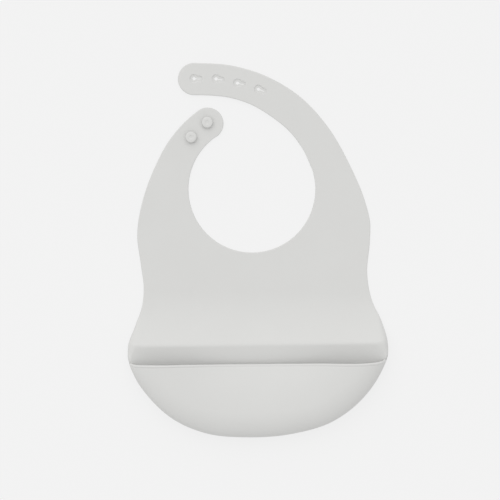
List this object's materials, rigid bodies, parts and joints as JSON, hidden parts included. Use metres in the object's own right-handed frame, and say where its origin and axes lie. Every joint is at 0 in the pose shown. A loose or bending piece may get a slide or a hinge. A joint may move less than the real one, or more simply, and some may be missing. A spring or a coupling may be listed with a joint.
{
  "type": "silicone baby bib",
  "caption": "Soft one-piece feeding bib: round neck opening, two curved straps with buttons and keyholes, and a catch pocket along the bottom.",
  "frame": {"origin": "middle of the bib's outline in plan, on the surface that it lies on", "axes": "+X to the right as seen from the front, +Y along the bib from the pocket to the straps, +Z out of the front face"},
  "size_m": [0.2198, 0.3177, 0.0224],
  "materials": {
    "silicone": "satin matte moulded silicone",
    "button": "satin moulded silicone"
  },
  "bodies": {
    "chest": {"chest_panel": "silicone"},
    "belly": {"belly_panel": "silicone"},
    "pocket": {"pocket_back": "silicone"},
    "pocket_lip": {"pocket_front": "silicone", "pocket_rim": "silicone"},
    "left_base": {"left_strap_base": "silicone"},
    "left_middle": {"left_strap_middle": "silicone"},
    "left_end": {"left_strap_end": "silicone", "button_upper": "button", "button_lower": "button"},
    "right_base": {"right_strap_base": "silicone"},
    "right_middle": {"right_strap_middle": "silicone"},
    "right_upper": {"right_strap_upper": "silicone"},
    "right_holes": {"right_strap_holes": "silicone"},
    "right_end": {"right_strap_end": "silicone"}
  },
  "joints": [
    {"name": "left_shoulder_flex", "type": "hinge", "parent": "chest", "child": "left_base", "pos_m": [-0.078, 0.038, 0.0009], "axis": [-1, 0, 0], "range_deg": [-45, 45], "stiffness_Nm_per_rad": 0.002},
    {"name": "left_bend_flex", "type": "hinge", "parent": "left_base", "child": "left_middle", "pos_m": [-0.0715, 0.0682, 0.0009], "axis": [-0.9703, 0.2419, 0], "range_deg": [-45, 45], "stiffness_Nm_per_rad": 0.0012},
    {"name": "left_curl_flex", "type": "hinge", "parent": "left_middle", "child": "left_end", "pos_m": [-0.0625, 0.0862, 0.0009], "axis": [-0.8572, 0.515, 0], "range_deg": [-45, 45], "stiffness_Nm_per_rad": 0.0012},
    {"name": "right_shoulder_flex", "type": "hinge", "parent": "chest", "child": "right_base", "pos_m": [0.0696, 0.038, 0.0009], "axis": [-1, 0, 0], "range_deg": [-45, 45], "stiffness_Nm_per_rad": 0.002},
    {"name": "right_bend_flex", "type": "hinge", "parent": "right_base", "child": "right_middle", "pos_m": [0.0574, 0.0834, 0.0009], "axis": [-0.891, -0.454, 0], "range_deg": [-45, 45], "stiffness_Nm_per_rad": 0.0012},
    {"name": "right_sweep_flex", "type": "hinge", "parent": "right_middle", "child": "right_upper", "pos_m": [0.0403, 0.1076, 0.0009], "axis": [-0.6293, -0.7771, 0], "range_deg": [-45, 45], "stiffness_Nm_per_rad": 0.0012},
    {"name": "right_curl_flex", "type": "hinge", "parent": "right_upper", "child": "right_holes", "pos_m": [0.0141, 0.1283, 0.0009], "axis": [-0.2419, -0.9703, 0], "range_deg": [-45, 45], "stiffness_Nm_per_rad": 0.0012},
    {"name": "right_end_flex", "type": "hinge", "parent": "right_holes", "child": "right_end", "pos_m": [-0.0264, 0.1435, 0.0009], "axis": [-0.1908, -0.9816, 0], "range_deg": [-45, 45], "stiffness_Nm_per_rad": 0.0012},
    {"name": "belly_fold", "type": "hinge", "parent": "chest", "child": "belly", "pos_m": [0, -0.036, 0.0009], "axis": [-1, 0, 0], "range_deg": [-60, 60], "stiffness_Nm_per_rad": 0.006},
    {"name": "pocket_fold", "type": "hinge", "parent": "belly", "child": "pocket", "pos_m": [0.00017, -0.0802, 0.012], "axis": [-0.9999, -0.0136, 0], "range_deg": [-30, 90], "stiffness_Nm_per_rad": 0.006},
    {"name": "mouth_open", "type": "hinge", "parent": "pocket", "child": "pocket_lip", "pos_m": [0, -0.1581, 0.012], "axis": [1, 0, 0], "range_deg": [0, 18], "stiffness_Nm_per_rad": 0.01}
  ]
}
